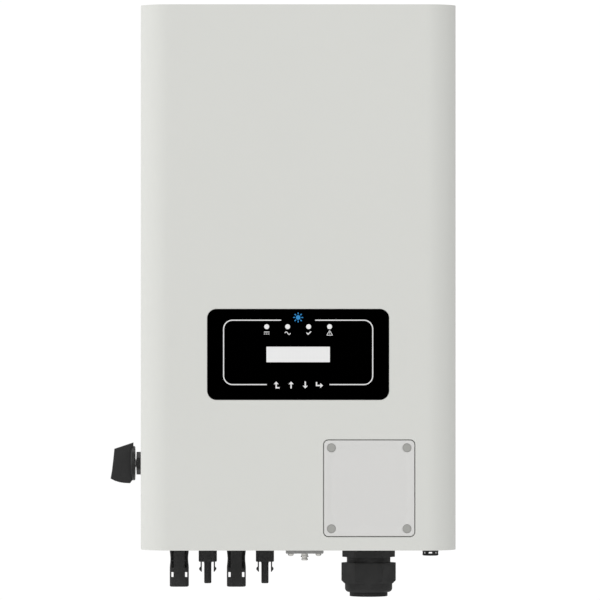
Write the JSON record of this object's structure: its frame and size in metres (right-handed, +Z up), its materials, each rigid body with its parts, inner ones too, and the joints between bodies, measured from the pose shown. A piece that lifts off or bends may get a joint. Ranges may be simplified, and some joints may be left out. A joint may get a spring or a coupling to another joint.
{
  "type": "string inverter",
  "caption": "Wall-hung solar string inverter: tall pale case with display panel, AC wiring cover, side DC isolator knob, panel connectors, cable gland and finned back on a hook bracket.",
  "frame": {"origin": "centre of the wall bracket's back face, which lies on the wall plane y = 0", "axes": "+Z up along the case's height, +Y into the wall, +X towards the side that carries the AC cover when seen from the front"},
  "size_m": [0.3515, 0.205, 0.6015],
  "materials": {
    "powder_coat": "fine satin powder coat, warm light grey",
    "cover_paint": "fine satin powder coat, neutral light grey",
    "screw_cap": "satin mid grey",
    "black_plastic": "moulded black, fine grain",
    "black_film": "smooth printed film",
    "clear_lens": "frosted light pipe",
    "lcd": "pale reflective display window",
    "zinc_steel": "zinc plated sheet",
    "heatsink_aluminium": "extruded, natural",
    "grey_plate": "satin mid grey",
    "nickel": "turned, nickel plated",
    "tin_contact": "tin plated",
    "rubber": "moulded seal",
    "circuit_board": "solder resist",
    "ribbon": "flat cable",
    "capacitor_sleeve": "shrink sleeve",
    "copper_winding": "lacquered copper wire",
    "potting": "moulded dark casing",
    "terminal_plastic": "moulded grey-green",
    "insulating_sheet": "folded insulating sheet"
  },
  "bodies": {
    "bracket": {"wall_bracket": "zinc_steel"},
    "inverter": {"front_cover": "powder_coat", "rear_housing": "powder_coat", "heatsink": "heatsink_aluminium", "cover_gasket": "rubber", "hanger_plate": "zinc_steel", "lock_screw": "zinc_steel", "display_overlay": "black_film", "led_lens_dc": "clear_lens", "led_lens_ac": "clear_lens", "led_lens_normal": "clear_lens", "led_lens_alarm": "clear_lens", "lcd_window": "lcd", "lcd_module": "potting", "display_board": "circuit_board", "display_ribbon": "ribbon", "main_board": "circuit_board", "igbt_module": "potting", "dc_link_capacitor_1": "capacitor_sleeve", "dc_link_capacitor_2": "capacitor_sleeve", "boost_inductor_1": "copper_winding", "boost_inductor_2": "copper_winding", "output_inductor": "copper_winding", "emi_filter": "potting", "dc_switch_body": "potting", "dc_switch_nut": "black_plastic", "pv_pin_shell_1": "black_plastic", "pv_pin_shell_2": "black_plastic", "pv_latch_probe_1": "black_plastic", "pv_latch_probe_2": "black_plastic", "pv_contact_1": "tin_contact", "pv_contact_2": "tin_contact", "pv_contact_3": "tin_contact", "pv_contact_4": "tin_contact", "pv_retaining_plate": "zinc_steel", "comms_plate": "grey_plate", "comms_gasket": "rubber", "comms_screw_1": "zinc_steel", "comms_screw_2": "zinc_steel", "antenna_socket": "nickel", "gland_body": "black_plastic", "gland_lock_nut": "black_plastic", "gland_washer": "zinc_steel", "vent_plug": "black_plastic", "ac_terminal_block": "terminal_plastic", "wiring_bay_shield": "insulating_sheet"},
    "ac_cover": {"ac_cover": "cover_paint", "ac_cover_gasket": "rubber", "ac_cover_screw_1": "screw_cap", "ac_cover_screw_2": "screw_cap", "ac_cover_screw_3": "screw_cap", "ac_cover_screw_4": "screw_cap"},
    "dc_knob": {"dc_knob": "black_plastic", "dc_switch_shaft": "zinc_steel"},
    "key_back": {"key_back": "black_film"},
    "key_up": {"key_up": "black_film"},
    "key_down": {"key_down": "black_film"},
    "key_enter": {"key_enter": "black_film"},
    "gland_seal": {"gland_seal": "rubber"},
    "gland_nut": {"gland_dome_nut": "black_plastic"}
  },
  "joints": [
    {"name": "hang_lift", "type": "slide", "parent": "bracket", "child": "inverter", "axis": [0, 0, 1], "range_m": [0, 0.03]},
    {"name": "ac_cover_off", "type": "slide", "parent": "inverter", "child": "ac_cover", "axis": [0, -1, 0], "range_m": [0, 0.06]},
    {"name": "dc_knob_turn", "type": "hinge", "parent": "inverter", "child": "dc_knob", "pos_m": [-0.1671, -0.11, -0.2447], "axis": [-1, 0, 0], "range_deg": [0, 90]},
    {"name": "key_back_press", "type": "slide", "parent": "inverter", "child": "key_back", "axis": [0, 1, 0], "range_m": [0, 0.0005], "stiffness_N_per_m": 1500},
    {"name": "key_up_press", "type": "slide", "parent": "inverter", "child": "key_up", "axis": [0, 1, 0], "range_m": [0, 0.0005], "stiffness_N_per_m": 1500},
    {"name": "key_down_press", "type": "slide", "parent": "inverter", "child": "key_down", "axis": [0, 1, 0], "range_m": [0, 0.0005], "stiffness_N_per_m": 1500},
    {"name": "key_enter_press", "type": "slide", "parent": "inverter", "child": "key_enter", "axis": [0, 1, 0], "range_m": [0, 0.0005], "stiffness_N_per_m": 1500},
    {"name": "gland_nut_advance", "type": "slide", "parent": "inverter", "child": "gland_seal", "axis": [0, 0, -1], "range_m": [0, 0.0045]},
    {"name": "gland_nut_turn", "type": "hinge", "parent": "gland_seal", "child": "gland_nut", "pos_m": [0.0722, -0.11, -0.33], "axis": [0, 0, -1], "range_deg": [0, 1080]}
  ],
  "couplings": [
    {"joint": "gland_nut_turn", "follows": "gland_nut_advance", "rad_per_m": 4188.8}
  ]
}
